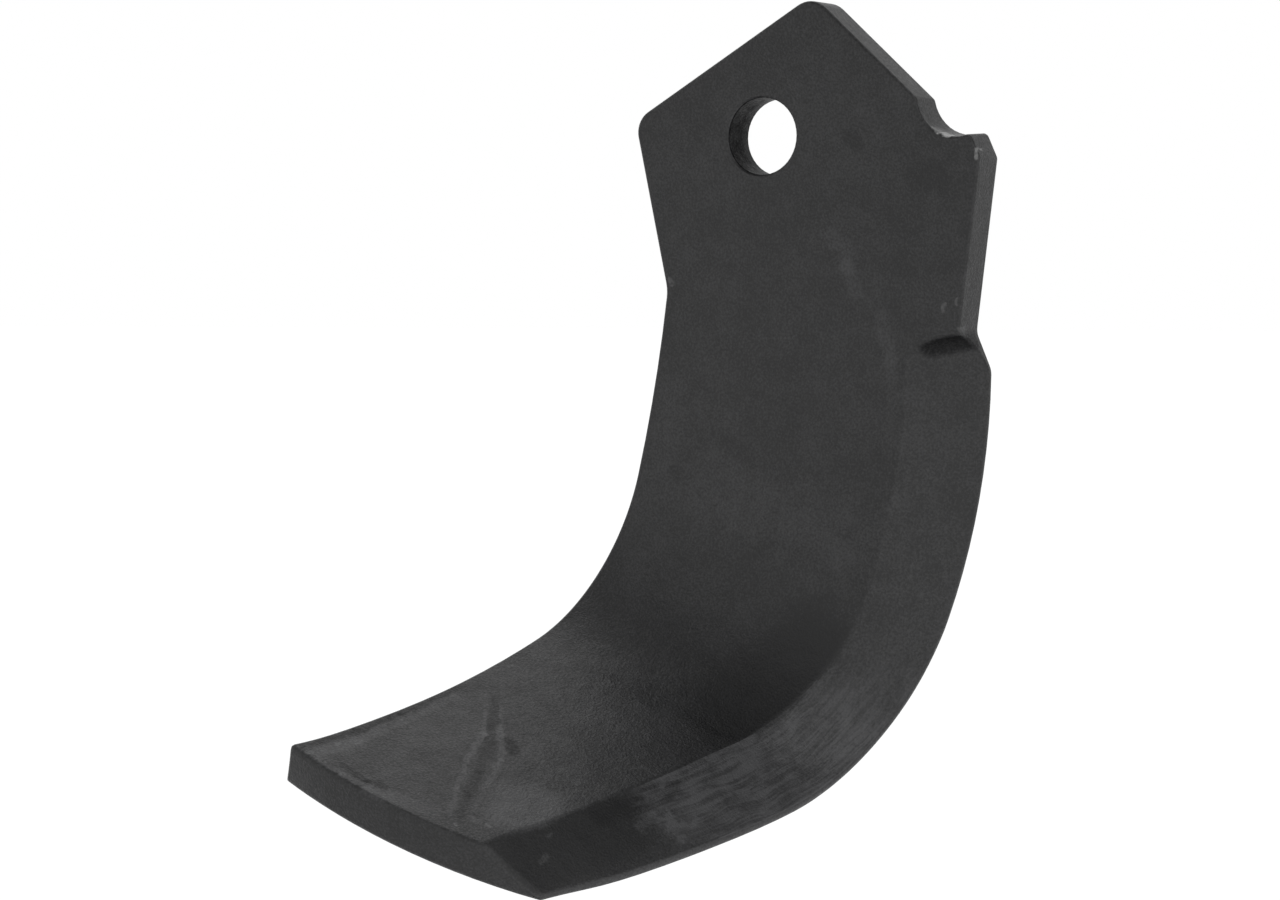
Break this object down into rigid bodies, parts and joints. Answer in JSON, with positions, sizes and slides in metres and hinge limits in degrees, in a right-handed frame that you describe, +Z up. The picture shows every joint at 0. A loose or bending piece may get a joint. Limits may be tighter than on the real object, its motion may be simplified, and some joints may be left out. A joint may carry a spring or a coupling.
{
  "type": "rotary tiller blade",
  "caption": "Curved rotary tiller blade: flat notched head with a bolt hole, tapering shank, bevelled outer cutting edge and a foot bent inward.",
  "frame": {"origin": "centre of the bolt hole, in the plane of the head's back face", "axes": "+Z up along the shank towards the head's point, bolt axis along Y with the bevelled front face looking along -Y, +X towards the bevelled cutting edge"},
  "size_m": [0.101, 0.0873, 0.1608],
  "materials": {
    "blackened_steel": "satin black coating over forged steel, with faint scale marks and grinding streaks"
  },
  "bodies": {
    "root": {"tiller_blade": "blackened_steel"}
  },
  "joints": []
}
